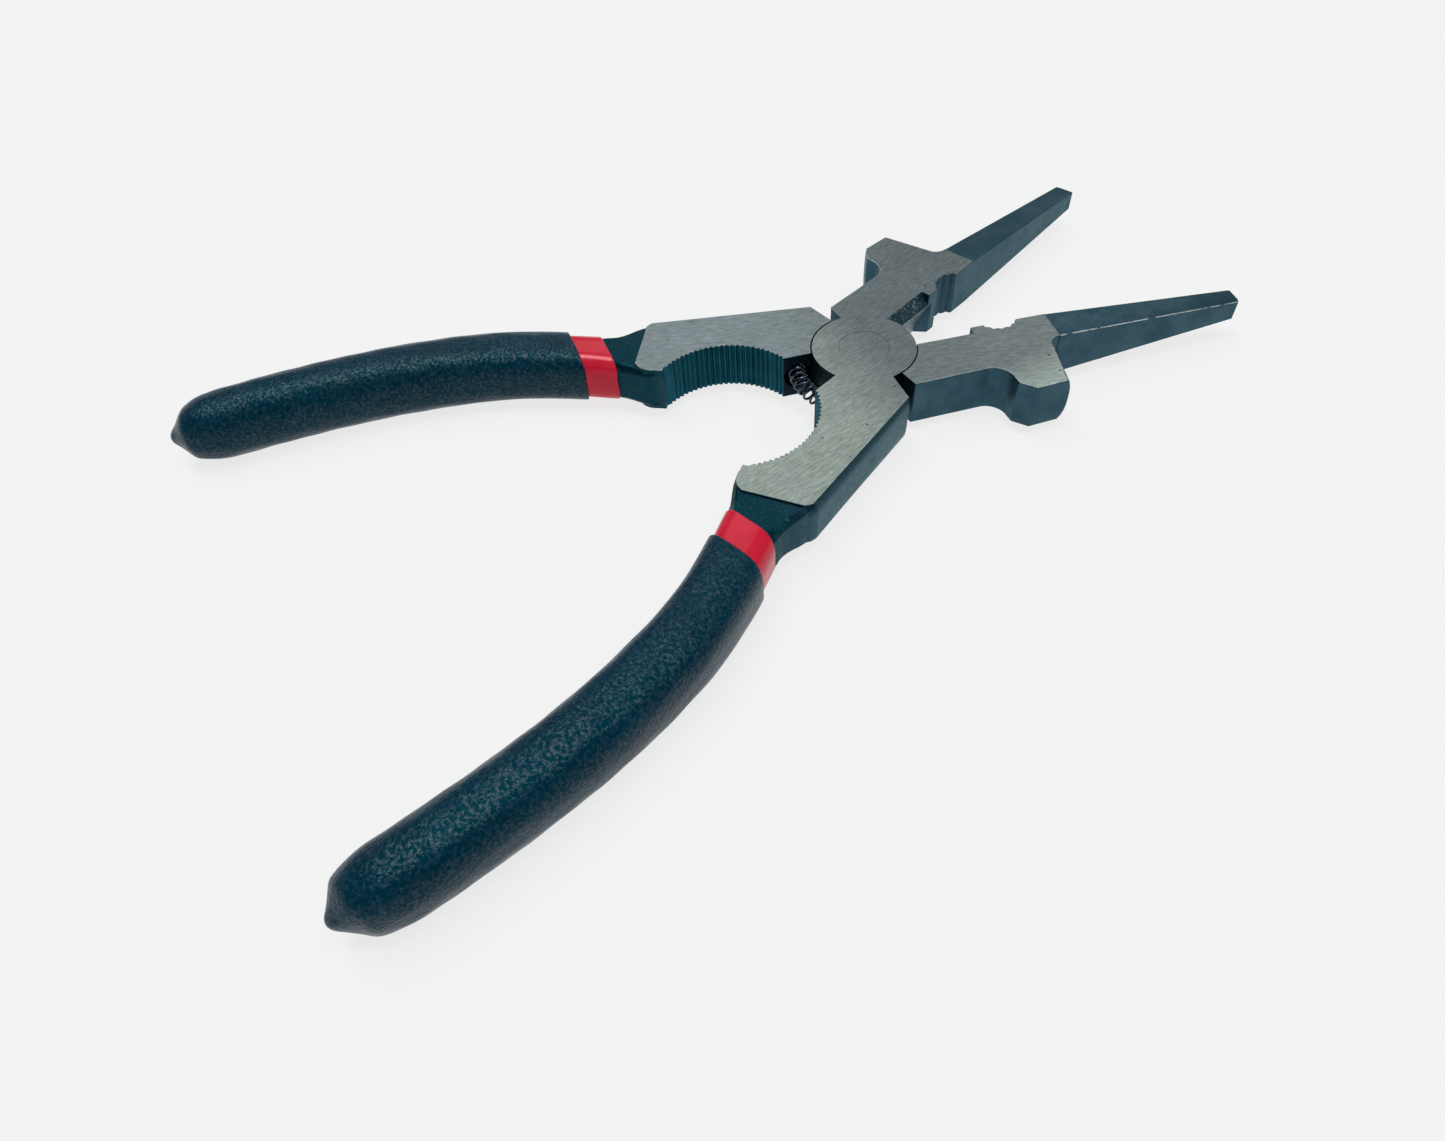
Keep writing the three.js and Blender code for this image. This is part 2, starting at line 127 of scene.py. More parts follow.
def new_object(name, verts, faces):
    mesh = bpy.data.meshes.new(name)
    mesh.from_pydata([tuple(v) for v in verts], [], faces)
    mesh.validate()
    bm = bmesh.new()
    bm.from_mesh(mesh)
    bmesh.ops.recalc_face_normals(bm, faces=bm.faces)
    bm.to_mesh(mesh)
    bm.free()
    made = bpy.data.objects.new(name, mesh)
    bpy.context.scene.collection.objects.link(made)
    return made


def loft(name, rings):
    """A closed body through rings of equal point counts."""
    count = len(rings[0])
    verts = [p for ring in rings for p in ring]
    faces = []
    for r in range(len(rings) - 1):
        for i in range(count):
            j = (i + 1) % count
            faces.append((r * count + i, r * count + j, (r + 1) * count + j, (r + 1) * count + i))
    faces.append(tuple(range(count)))
    last = (len(rings) - 1) * count
    faces.append(tuple(last + i for i in range(count)))
    return new_object(name, verts, faces)


def level(outline, height, side=1):
    """A plan outline at a height. A side of -1 mirrors it to the jaw side."""
    return [(side * x, y, height) for x, y in outline]


def apply_modifiers(obj):
    graph = bpy.context.evaluated_depsgraph_get()
    mesh = bpy.data.meshes.new_from_object(obj.evaluated_get(graph))
    obj.modifiers.clear()
    obj.data = mesh


def combine(body, tool, operation):
    modifier = body.modifiers.new("combine", "BOOLEAN")
    modifier.object = tool
    modifier.operation = operation
    modifier.solver = "EXACT"
    apply_modifiers(body)
    bpy.data.objects.remove(tool)


def disc_ring(radius, height, segments=96):
    angles = np.linspace(0, 2 * math.pi, segments, False)
    return [(radius * math.cos(t), radius * math.sin(t), height) for t in angles]


def disc(radius, low, high, segments=160):
    return loft("disc", [disc_ring(radius, low, segments), disc_ring(radius, high, segments)])


def arc(out, along, radius, start, end, steps):
    angles = np.radians(np.linspace(start, end, steps + 1))
    return [(out + radius * math.cos(t), along + radius * math.sin(t)) for t in angles]


def quadratic(a, b, c, steps):
    a, b, c = (np.array(p, float) for p in (a, b, c))
    return [tuple((1 - t) ** 2 * a + 2 * (1 - t) * t * b + t * t * c) for t in np.linspace(0, 1, steps + 1)]


def toothed_arc(out, along, radius, start, end, teeth, depth, crest=0.3, root=0.14):
    """Flat-crested V teeth: crests on the radius, roots a tooth's depth beyond it."""
    pitch = (end - start) / teeth
    points = []
    for i in range(teeth):
        for share, r in ((0, 0), (crest, 0), (0.5 + (crest - root) / 2, 1), (0.5 + (crest + root) / 2, 1)):
            angle = math.radians(start + (i + share) * pitch)
            reach = radius + (depth + 0.05 * math.sin(i * 2.3)) * r
            points.append((out + reach * math.cos(angle), along + reach * math.sin(angle)))
    return points + arc(out, along, radius, end, end, 0)


# ------------------------------------------------------------------ the levers


def jaw_outline(swell):
    """The jaw in plan. Between the ground faces the forged sides swell, most at the horn's far side."""
    radius = (NOTCH_HALF**2 + NOTCH_DEPTH**2) / (2 * NOTCH_DEPTH)
    span = math.degrees(math.asin(NOTCH_HALF / radius))
    outer = [(JAW_GAP, 0), (9.3, 4.45), (12.75, 5.6), (12.25, 19.7)]
    outer += arc(**HORN_FILLET)[1:]
    outer += [(17.6 + 0.1 * swell, 23.7 - 0.1 * swell), (19.9 + 0.25 * swell, 26.2)]
    outer += [(19.4 + 0.3 * swell, 32.2 + 1.1 * swell), (14.5, 33.05 + 0.8 * swell)]
    outer += arc(**NOSE_FILLET)
    outer.append((JAW_GAP, HEAD_END))
    centre = JAW_GAP + NOTCH_DEPTH - radius
    return outer + toothed_arc(centre, NOTCH_ALONG, radius, span, -span, **NOTCH_TEETH)


def block_outline(bulge):
    """The handle block in plan. The bulge moves its outer side and far corner outwards."""
    points = [(1.1, -8)] + toothed_arc(**BITE)
    points += [(4.75, -37.95), (3.8, -38.35)]
    points += quadratic((4.35, -39.8), (5.0, -42.6), (7.7, -43.0), 8)
    corner = (17.9 + bulge, -38.9 - bulge / 3)
    points += [corner] + quadratic(corner, (18.85 + bulge, -38.1), (18.85 + bulge, -37.3), 8)[1:]
    points += [(15.1 + bulge / 4, -6.15), (11.9, -4.6), (9.75, -3.5), (0, 0)]
    return points


def cutter_tools(front):
    """The front and back bevels that meet at the cutting edge."""
    edge, top = (JAW_GAP, CUTTER_EDGE), HALF + OVERRUN
    slope = (CUTTER_FRONT_OUT - JAW_GAP) / (HALF - CUTTER_EDGE)
    near = [(-OVERRUN, CUTTER_EDGE), (-OVERRUN, top), (CUTTER_FRONT_OUT + slope * OVERRUN, top), edge]
    far = [(-OVERRUN, -top), (-OVERRUN, CUTTER_EDGE), edge, (CUTTER_BACK_OUT, -top)]

    def ring(along, corners):
        return [(-x, along, front * z) for x, z in corners]

    slanted = ring(CUTTER_BACK_END, far)
    slanted[3] = (slanted[3][0], CUTTER_SLANT_END, slanted[3][2])
    front_bevel = loft("bevel", [ring(0, near), ring(CUTTER_FRONT_END, near)])
    return front_bevel, loft("bevel", [ring(0, far), slanted])


def nose():
    return loft("nose", [
        [(-x, along, z) for x, z in ((JAW_GAP, -half), (JAW_GAP, half), (width, half), (width, -half))]
        for along, width, half in NOSE
    ])


def spline_out(along, route=np.array(ROUTE, float)):
    """How far out the handle's centreline lies: a uniform Catmull-Rom curve through the route."""
    if along >= route[0][1]:
        return route[0][0]
    if along <= route[-1][1]:
        return route[-1][0]
    low, high = 0.0, 1.0
    last = len(route) - 1

    def point(t):
        place = t * last
        i = min(int(place), last - 1)
        w = place - i
        p0, p1, p2, p3 = (route[min(max(i + k, 0), last)] for k in (-1, 0, 1, 2))
        v0, v1 = (p2 - p0) * 0.5, (p3 - p1) * 0.5
        return (2 * p1 - 2 * p2 + v0 + v1) * w**3 + (-3 * p1 + 3 * p2 - 2 * v0 - v1) * w**2 + v0 * w + p1

    for _ in range(30):
        middle = (low + high) / 2
        if point(middle)[1] > along:
            low = middle
        else:
            high = middle
    return point(low)[0]


def figure(values, along):
    """A value that runs through three figures: at the grip's start, midway and at its end."""
    start, middle, end = values
    t = min(max((along - GRIP_START) / (GRIP_END - GRIP_START), 0), 1)
    return (1 - t) ** 2 * start + 2 * (1 - t) * t * (2 * middle - (start + end) / 2) + t * t * end


def section(along, width, height, square, points=72):
    """A superellipse square to the lever, round the handle's centreline."""
    out = spline_out(along)
    ring = []
    for t in (np.arange(points) + 0.5) / points * 2 * math.pi:
        c, s = math.cos(t), math.sin(t)
        x = math.copysign(abs(c) ** (2 / square), c) * width
        z = math.copysign(abs(s) ** (2 / square), s) * height
        ring.append((out + x, along, z))
    return ring


def neck():
    """The bare shank between the block and the red sleeve: boxy, with broad chamfers."""
    rings = []
    for along, low, high, chamfer in zip(NECK_PLACES, NECK_INNER, NECK_OUTER, NECK_CHAMFERS):
        side, broad = NECK_TOP - chamfer, high - chamfer * 1.2
        corners = [(low, -side), (low, side), (low + chamfer, NECK_TOP), (broad, NECK_TOP)]
        corners += [(high, side), (high, -side), (broad, -NECK_TOP), (low + chamfer, -NECK_TOP)]
        rings.append([(x, along, z) for x, z in corners])
    return loft("neck", rings)


def tang():
    stations = [(v, 1.0) for v in np.linspace(TANG_START, TANG_TAPER, 26)]
    stations += [(-117, 0.95), (-119, 0.85), (-120.6, 0.68), (-121.6, 0.45), (-122, 0.2)]
    return loft("tang", [
        section(v, figure(TANG_WIDTHS, v) * share, figure(TANG_HEIGHTS, v) * share, TANG_SQUARE, 28)
        for v, share in stations
    ])


def lever_body(front):
    levels = [(share, (1 - abs(share) ** 3) ** 0.7) for share in JAW_LEVELS]
    body = loft("lever", [level(jaw_outline(swell), share * HALF, -1) for share, swell in levels])
    for tool in cutter_tools(front):
        combine(body, tool, "DIFFERENCE")
    upper = list(zip(BLOCK_HEIGHTS, BLOCK_BULGES))
    profile = [(-z, b) for z, b in upper] + upper[::-1]
    block = loft("block", [level(block_outline(BLOCK_SWELL * b), z) for z, b in profile])
    for tool in (nose(), block, neck(), tang(), disc(BOSS_RADIUS, 0, HALF)):
        combine(body, tool, "UNION")
    combine(body, disc(LAP_RADIUS, -HALF - OVERRUN, LAP_GAP), "DIFFERENCE")
    pocket = disc(POCKET_RADIUS, *POCKET_SPAN, 48)
    pocket.data.transform(Matrix.Translation((0, POCKET_ALONG, 0)) @ Matrix.Rotation(math.pi / 2, 4, "Y"))
    pocket.data.transform(Matrix.Translation((POCKET_SHIFT, 0, 0)))
    combine(body, pocket, "DIFFERENCE")
    seat = HALF - RIVET_SEAT
    hole = [(HOLE_RADIUS, HALF + OVERRUN), (HOLE_RADIUS, seat), (SHANK_HOLE, seat), (SHANK_HOLE, 0)]
    rings = [disc_ring(r, z) for r, z in hole] + [disc_ring(r, -z) for r, z in hole[::-1][1:]]
    combine(body, loft("hole", rings), "DIFFERENCE")
    return body


GROUND, OXIDE, WORN, BEVEL, GROOVE, SHADED_RECESS = range(6)
FLAT_ANGLE, SHARP_ANGLE = math.radians(0.25), math.radians(17)


def on_cutter(p, tilt):
    return -3.2 < p.x < 0 and 9 < p.y < 22.6 and 0.2 < tilt < 0.95


def in_recess(p):
    """By the spring's flat, or under the other lever's boss: the faces whose near-black colour is painted shade."""
    return 0 < p.x < 9 and -19 < p.y < -1 or math.hypot(p.x, p.y) < 10.3


def finish_lever(body, front):
    """Gives each face its finish, and rounds the edges by how much the forging's are."""
    bm = bmesh.new()
    bm.from_mesh(body.data)
    bmesh.ops.remove_doubles(bm, verts=bm.verts, dist=1e-4)
    bmesh.ops.dissolve_limit(bm, angle_limit=FLAT_ANGLE, verts=bm.verts, edges=bm.edges)
    bm.normal_update()
    for f in bm.faces:
        c = f.calc_center_median()
        f.material_index = OXIDE
        if abs(f.normal.z) > 0.999 and all(abs(abs(v.co.z) - HALF) < 0.01 for v in f.verts):
            f.material_index = GROUND
        elif on_cutter(c, abs(f.normal.z)):
            f.material_index = BEVEL
        elif on_bite(c):
            f.material_index = GROOVE
        # The recess faces take a near-black colour that paints the shade there.
        elif in_recess(c):
            f.material_index = SHADED_RECESS
    bm.to_mesh(body.data)
    bm.free()
    for _ in range(SHADED_RECESS + 1):
        body.data.materials.append(None)
    round_edges(body, ridge_radius, WORN)
    round_edges(body, lambda e: edge_radius(e, front), OXIDE)


def round_edges(body, radius_of, finish):
    """Rounds each sharp edge by its own radius and gives the rounding one finish."""
    bm = bmesh.new()
    bm.from_mesh(body.data)
    layers, layer = bm.edges.layers.float, "bevel_weight_edge"
    weight = layers.get(layer) or layers.new(layer)
    for e in bm.edges:
        sharp = len(e.link_faces) == 2 and e.calc_face_angle(0) > SHARP_ANGLE
        e[weight] = radius_of(e) if sharp else 0.0
    bm.to_mesh(body.data)
    bm.free()
    modifier = body.modifiers.new("round", "BEVEL")
    modifier.limit_method = "WEIGHT"
    modifier.width = 1.0
    modifier.segments = 3
    modifier.use_clamp_overlap = False
    modifier.material = finish
    apply_modifiers(body)


def on_bite(p):
    return p.x > 0 and abs(math.hypot(p.x - BITE["out"], p.y - BITE["along"]) - BITE_WALL) < BITE_BAND


def ridge_radius(e):
    """The nose's outer ridges and the jaw's outer ground edges, which are rubbed bright."""
    m = (e.verts[0].co + e.verts[1].co) / 2
    d = e.verts[1].co - e.verts[0].co
    if m.x < -3 and m.y > HEAD_END and abs(d.y) > 20:
        return 0.13
    finishes = {f.material_index for f in e.link_faces}
    return 0.06 if GROUND in finishes and m.x < -11 and m.y < 34 else 0.0


def edge_radius(e, front):
    """The edges that keep their oxide: the forging's corners are softer than the ground faces'."""
    m = (e.verts[0].co + e.verts[1].co) / 2
    d = (e.verts[1].co - e.verts[0].co).normalized()
    out = abs(m.x)
    finishes = {f.material_index for f in e.link_faces}
    side = front * m.z
    if math.hypot(m.x, m.y) < 10.6 or m.y < -46 or BEVEL in finishes or WORN in finishes:
        return 0.0
    on_teeth = on_bite(m) or m.x < 0 and out < 2.6 and abs(m.y - NOTCH_ALONG) < 3.6
    if GROUND in finishes:
        if on_teeth:
            return 0.04
        return 0.08 if side > 0 else 0.2
    if on_teeth:
        return 0.0
    if m.x < 0 and abs(d.z) > 0.6:
        return 0.6 if m.y > 25 and out > 15 else 0.3
    if m.x < 0 and m.y > HEAD_END:
        return 0.15
    if m.x > 0 and m.y < -38:
        return 0.35 if m.y < -43.3 or abs(m.z) < 4 else 0.0
    return 0.15 if abs(d.z) > 0.8 else 0.0


# ------------------------------------------------------------------ vinyl layers

CLOSING = 11.5  # how far from its end a layer starts to close in
NUB_TIP = 0.6
NUB_REACH = 4.0
NUB_SHARE = 0.64
INNER_SHORT = 1.6  # how far the inside ends before the outside
RIPPLE_DROP = 0.19  # keeps the uneven skin inside the layer's nominal size


def end_share(distance):
    """How far a layer has closed in, at a distance from its end: a dome drawn out to a soft nub."""
    if distance >= CLOSING:
        return 1.0
    dome = math.sqrt(max(1 - (1 - max(distance, 0) / CLOSING) ** 2.4, 0))
    t = min(max((distance - NUB_TIP) / (NUB_REACH - NUB_TIP), 0), 1)
    return dome * (NUB_SHARE + (1 - NUB_SHARE) * t * t * (3 - 2 * t))


def end_places(end):
    """Places along the closing end, close together at the nub."""
    return [end + CLOSING * t * t for t in np.linspace(1, 0.02, 34)]


def ripple(x, y, z):
    """A small smooth unevenness of the dipped layer."""
    waves = ((0.03, 1.3, 0.9, 0), (0.025, 0, 0.53, -1.9), (0.02, 2.1, 0, 1.7))
    return sum(size * math.sin(a * x + b * y + c * z) for size, a, b, c in waves)


def layer_ring(along, end, inset, wave=0.0, slant=0.0, points=72):
    share = end_share(along - end)
    width = (figure(GRIP_WIDTHS, along) - inset) * share
    height = (figure(GRIP_HEIGHTS, along) - inset) * share
    ring = section(along, width, height, figure(SQUARENESS, along), points)
    middle = spline_out(along)

    def lean(x, z):
        return wave * (0.6 * math.sin(0.55 * x + 0.8 * z + 1.0) + 0.4 * math.sin(1.4 * z)) - slant * x / width

    return [(x, y + lean(x - middle, z), z) for x, y, z in ring]


def dipped(name, start, end, inset, wall, lip, wave, slant):
    """A dipped layer: a skin with a rolled lip, open at the head end and closed at the other."""
    inner_end = end + INNER_SHORT
    places = list(np.linspace(start + lip, end + CLOSING, 46))[:-1]
    inner_places = [inner_end + step for step in (0.5, 1.9, 4)]
    inner_places += list(np.linspace(inner_end + CLOSING, start - 1.0, 16)[:-1])
    inside = [layer_ring(v, inner_end, inset + wall) for v in inner_places]
    roll = []
    for t in np.linspace(0, math.pi / 2, 6):
        depth = lip * (1 - math.sin(t))
        step = lip * (1 - math.cos(t))
        roll.append(layer_ring(start - step, end, inset + depth, wave, slant))
    mouth = [layer_ring(start, end, inset + wall, wave, slant)]
    fade = [max(0.0, 1 - i / 6) for i in range(len(places))]
    outside = [layer_ring(v - 2 * lip, end, inset, wave * f, slant * f) for v, f in zip(places, fade)]
    outside += [layer_ring(v, end, inset) for v in end_places(end)]
    rings = inside + mouth + roll + outside[1:]
    made = loft(name, rings)
    for v in made.data.vertices:
        radial = v.co - Vector((spline_out(v.co.y), v.co.y, 0))
        share = min(max((start - 1.5 - v.co.y) / 6, 0), 1) * min(radial.length / 4, 1)
        v.co += radial.normalized() * share * (ripple(*v.co) - RIPPLE_DROP)
    return made


# ------------------------------------------------------------------ build the pieces


def settle(obj, letter, smooth_angle=30):
    """Puts a finished piece in the row frame, shaded smooth, on its body."""
    obj.data.transform(PLACE[letter])
    obj.data.shade_smooth()
    obj.data.set_sharp_from_angle(angle=math.radians(smooth_angle))
    modifier = obj.modifiers.new("normals", "WEIGHTED_NORMAL")
    modifier.keep_sharp = True
    apply_modifiers(obj)
    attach(obj, BODY[letter])


pieces = {}
for letter in "ab":
    body = lever_body(FRONT[letter])
    finish_lever(body, FRONT[letter])
    body.name = f"forged_lever_{letter}"
    settle(body, letter, 24)
    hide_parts(f"lever_{letter}")
    pieces[f"lever_{letter}"] = body

    sleeve = dipped(f"red_sleeve_{letter}", SLEEVE_START, SLEEVE_END, 0.5, 0.42, 0.28, 0.16, SLANT[letter])
    settle(sleeve, letter, 60)
    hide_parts(f"inner_sleeve_{letter}")
    pieces[f"sleeve_{letter}"] = sleeve

    grip = dipped(f"dark_grip_{letter}", GRIP_START, GRIP_END, 0.0, 0.44, 0.36, 0.1, SLANT[letter])
    settle(grip, letter, 60)
    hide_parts(f"outer_grip_{letter}")
    pieces[f"grip_{letter}"] = grip


def rivet_body():
    """A flush rivet: a shank between two shallow heads with their rims eased."""
    profile = [(0.02, HALF), (2.4, HALF), (4.74, HALF), (4.8, HALF - 0.05)]
    profile += [(4.8, HALF - 0.72), (4.0, HALF - 0.76)]
    rings = [disc_ring(r, z) for r, z in profile] + [disc_ring(r, -z) for r, z in profile[::-1]]
    return loft("flush_rivet", rings)


rivet = rivet_body()
settle(rivet, "a")
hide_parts("pivot_rivet")
pieces["rivet"] = rivet

COIL_ARC, COIL_LIFT, COIL_RADIUS = 12.7, 0.3, 1.65
COIL_REACH = 2.85  # how far each end runs into its lever's pocket
COIL_HALF_ANGLE = REST + math.asin(COIL_REACH / COIL_ARC)
WIRE_RADIUS, TURNS = 0.25, 8.5


def on_coil(t, wound):
    """A place along the coil: on the wire's centreline, or on the coil's axis where it isn't wound."""
    swing = -COIL_HALF_ANGLE + 2 * COIL_HALF_ANGLE * t
    wind = t * TURNS * 2 * math.pi
    radius = COIL_ARC + wound * COIL_RADIUS * math.cos(wind)
    height = COIL_LIFT + wound * COIL_RADIUS * math.sin(wind)
    return Vector((radius * math.sin(swing), -radius * math.cos(swing), height))


def spring_body():
    """Round wire wound at an even pitch on an arc about the pivot."""
    per_turn, sides, step = 36, 12, 1e-4
    steps = int(TURNS * per_turn)
    rings = []
    for i in range(steps + 1):
        t = i / steps
        p = on_coil(t, 1)
        tangent = (on_coil(t + step, 1) - on_coil(t - step, 1)).normalized()
        away = p - on_coil(t, 0)
        away = (away - tangent * away.dot(tangent)).normalized()
        side = tangent.cross(away)
        rings.append([
            tuple(p + (away * math.cos(a) + side * math.sin(a)) * WIRE_RADIUS)
            for a in np.linspace(0, 2 * math.pi, sides, False)
        ])
    return loft("coil_spring", rings)


spring = spring_body()
spring.data.transform(LIFT @ Matrix.Scale(MM, 4))
spring.data.shade_smooth()
spring.data.set_sharp_from_angle(angle=math.radians(50))
reach = 9.2 * MM
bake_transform(spring, "far_lever", "near_lever", start=(-reach, -0.0115, HALF * MM), end=(reach, -0.0115, HALF * MM))
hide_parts("return_spring")
pieces["spring"] = spring

# ------------------------------------------------------------------ materials


class Nodes:
    """A short way to write a node tree: each call adds a node and links what it is given."""

    def __init__(self, name):
        self.material = bpy.data.materials.new(name)
        self.material.use_nodes = True
        self.tree = self.material.node_tree
        self.shader = self.tree.nodes["Principled BSDF"]

    def add(self, kind, settings=None, **inputs):
        node = self.tree.nodes.new(kind)
        for key, value in (settings or {}).items():
            setattr(node, key, value)
        for key, value in inputs.items():
            self.put(node, key, value)
        return node

    def put(self, node, key, value):
        """A key is a socket's name with _ for spaces, or i and the socket's number."""
        numbered = key[0] == "i" and key[1:].isdigit()
        self.feed(node.inputs[int(key[1:]) if numbered else key.replace("_", " ")], value)

    def feed(self, socket, value):
        if isinstance(value, bpy.types.NodeSocket):
            self.tree.links.new(value, socket)
        else:
            socket.default_value = value

    def place(self, turn=0.0, stretch=1.0, offset=(0, 0, 0)):
        """Object coordinates, drawn out along the row's Y axis turned by turn."""
        at = self.add("ShaderNodeTexCoord").outputs["Object"]
        size = (1, stretch, 1)
        settings = {"vector_type": "TEXTURE"}
        node = self.add(
            "ShaderNodeMapping", settings, Vector=at, Rotation=(0, 0, turn), Scale=size, Location=offset
        )
        return node.outputs[0]

    def noise(self, vector, scale, detail, rough):
        node = self.add("ShaderNodeTexNoise", Vector=vector, Scale=scale, Detail=detail, Roughness=rough)
        return node.outputs[0]

    def span(self, value, low, high, to_low=0.0, to_high=1.0):
        node = self.add("ShaderNodeMapRange", i0=value, i1=low, i2=high, i3=to_low, i4=to_high)
        return node.outputs[0]

    def axis(self, letter):
        at = self.add("ShaderNodeTexCoord").outputs["Object"]
        return self.add("ShaderNodeSeparateXYZ", Vector=at).outputs[letter]

    def shade(self, tone, light):
        """The tone made lighter or darker by a factor."""
        node = self.add("ShaderNodeVectorMath", {"operation": "SCALE"}, i0=tone, Scale=light)
        return node.outputs[0]

    def math(self, operation, a, b=0.0):
        return self.add("ShaderNodeMath", {"operation": operation}, i0=a, i1=b).outputs[0]

    def mix(self, share, a, b):
        node = self.add("ShaderNodeMix", {"data_type": "RGBA"})
        for index, value in ((0, share), (6, a), (7, b)):
            self.feed(node.inputs[index], value)
        return node.outputs[2]

    def bump(self, height, strength, distance, before=None):
        node = self.add("ShaderNodeBump", Height=height, Strength=strength, Distance=distance)
        if before:
            self.tree.links.new(before, node.inputs["Normal"])
        return node.outputs[0]

    def set(self, **inputs):
        for key, value in inputs.items():
            self.put(self.shader, key, value)
        return self.material


def rgb(red, green, blue):
    """A colour given as it looks on screen, 0 to 255."""

    def linear(c):
        return c / 255 / 12.92 if c / 255 <= 0.04045 else ((c / 255 + 0.055) / 1.055) ** 2.4

    return (linear(red), linear(green), linear(blue), 1)


def ground_steel(name, turn, handle_side, jaw_side, horn):
    """Surface-ground steel: short parallel streaks, brighter flecks, faint mottling, a few pits.
    The tone runs from the jaw's to the handle side's, and to the horn's at +X. These tones are painted light: each
    region is made lighter or darker by how its ground face catches the light."""
    n = Nodes(name)
    grain = n.noise(n.place(turn, 20), 5600, 3, 0.6)
    streak = n.noise(n.place(turn, 6.5), 3300, 3, 0.65)
    fleck = n.noise(n.place(turn, 4.5, (0.003, 0, 0)), 2900, 3, 0.75)
    cloud = n.noise(n.place(turn, 2.5), 130, 3, 0.5)
    # Painted light: the jaw, horn and handle-side tones differ by how brightly each ground face catches the light.
    tone = n.mix(n.span(n.axis("X"), 0.018, 0.027), rgb(*jaw_side), rgb(*horn))
    tone = n.mix(n.span(n.axis("Y"), 0.002, -0.013), tone, rgb(*handle_side))
    light = n.span(streak, 0.3, 0.7, 0.72, 1.3)
    light = n.math("MULTIPLY", light, n.span(grain, 0.3, 0.7, 0.84, 1.16))
    light = n.math("MULTIPLY", light, n.span(cloud, 0.3, 0.7, 0.92, 1.08))
    light = n.math("ADD", light, n.span(fleck, 0.6, 0.78, 0.0, 0.55))
    light = n.math("SUBTRACT", light, n.span(fleck, 0.38, 0.24, 0.0, 0.35))
    tone = n.shade(tone, light)
    pits = n.add("ShaderNodeTexVoronoi", Vector=n.place(turn, 1.8), Scale=330.0)
    dots = n.span(pits.outputs["Distance"], 0.05, 0.07, 1.0, 0.0)
    tone = n.mix(dots, tone, rgb(40, 50, 52))
    rough = n.math("ADD", n.span(fleck, 0.3, 0.7, 0.3, 0.4), n.span(cloud, 0.3, 0.7, 0.0, 0.06))
    normal = n.bump(grain, 0.3, 0.00003)
    normal = n.bump(streak, 0.3, 0.00003, normal)
    normal = n.bump(dots, 0.6, -0.00004, normal)
    return n.set(Base_Color=tone, Metallic=1.0, Roughness=rough, Normal=normal)


OXIDE_HAZE = (0.8, 0.92, 0.92, 1)  # the oxide's tint at a grazing view


def oxide_tone(n):
    """Blue-green black, deeper and greener on the handle necks, with painted shade just under the top of the handle
    blocks' sides. Gives the tone and its specks.
    """
    cloud = n.noise(n.place(), 160, 3, 0.6)
    speck = n.noise(n.place(), 3200, 3, 0.7)
    tone = n.mix(n.span(cloud, 0.35, 0.65), rgb(40, 72, 86), rgb(60, 87, 100))
    # Painted shade: the handle blocks' sides darken just under the ground edge, where the light falls off.
    near_top = n.span(n.axis("Z"), 0.0072, 0.0088, 0.0, 0.75)
    painted_shade_under_edge = n.math("MULTIPLY", near_top, n.span(n.axis("Y"), -0.003, -0.007))
    tone = n.mix(painted_shade_under_edge, tone, rgb(0, 44, 58))
    tone = n.mix(n.span(n.axis("Y"), -0.031, -0.038), tone, rgb(0, 50, 62))
    return n.mix(n.span(speck, 0.5, 0.8, 0.0, 0.35), tone, rgb(88, 118, 126)), speck


def black_oxide(name):
    """Black oxide over a forged skin, slightly mottled and pitted."""
    n = Nodes(name)
    tone, speck = oxide_tone(n)
    skin = n.noise(n.place(), 900, 4, 0.6)
    rough = n.span(skin, 0.3, 0.7, 0.34, 0.5)
    normal = n.bump(skin, 0.3, 0.00006)
    normal = n.bump(speck, 0.2, 0.00002, normal)
    return n.set(Base_Color=tone, Metallic=0.95, Roughness=rough, Normal=normal, Specular_Tint=OXIDE_HAZE)


def worn_edge(name):
    """An oxide edge rubbed bright in places."""
    n = Nodes(name)
    tone, speck = oxide_tone(n)
    patch = n.noise(n.place(), 330, 3, 0.65)
    worn = n.span(patch, 0.38, 0.5)
    tone = n.mix(worn, tone, rgb(214, 222, 222))
    rough = n.span(worn, 0.0, 1.0, 0.42, 0.26)
    return n.set(Base_Color=tone, Metallic=0.9, Roughness=rough, Normal=n.bump(speck, 0.2, 0.00002))


def cutter_bevel(name):
    """A filed cutting bevel whose oxide has flaked off in specks."""
    n = Nodes(name)
    tone, _ = oxide_tone(n)
    flake = n.noise(n.place(0, 1.6), 2200, 3, 0.75)
    patch = n.noise(n.place(), 240, 2, 0.5)
    bare = n.math("MULTIPLY", n.span(flake, 0.55, 0.6), n.span(patch, 0.46, 0.54))
    tone = n.mix(bare, tone, rgb(188, 200, 196))
    rough = n.span(bare, 0.0, 1.0, 0.4, 0.25)
    return n.set(Base_Color=tone, Metallic=0.9, Roughness=rough, Normal=n.bump(flake, 0.4, 0.00004))


def groove_oxide_and_recess_shade(name, dark, light):
    """The oxide in the teeth, thick and unrubbed, so darker and duller. In the recesses its darker tones are painted
    shade.
    """
    n = Nodes(name)
    cloud = n.noise(n.place(), 260, 3, 0.6)
    skin = n.noise(n.place(), 1400, 3, 0.6)
    tone = n.mix(n.span(cloud, 0.35, 0.65), rgb(*dark), rgb(*light))
    tone = n.mix(n.span(skin, 0.55, 0.8, 0.0, 0.3), tone, rgb(50, 88, 96))
    rough = n.span(skin, 0.3, 0.7, 0.4, 0.58)
    normal = n.bump(skin, 0.25, 0.00004)
    return n.set(Base_Color=tone, Metallic=0.85, Roughness=rough, Normal=normal, Specular_Tint=OXIDE_HAZE)


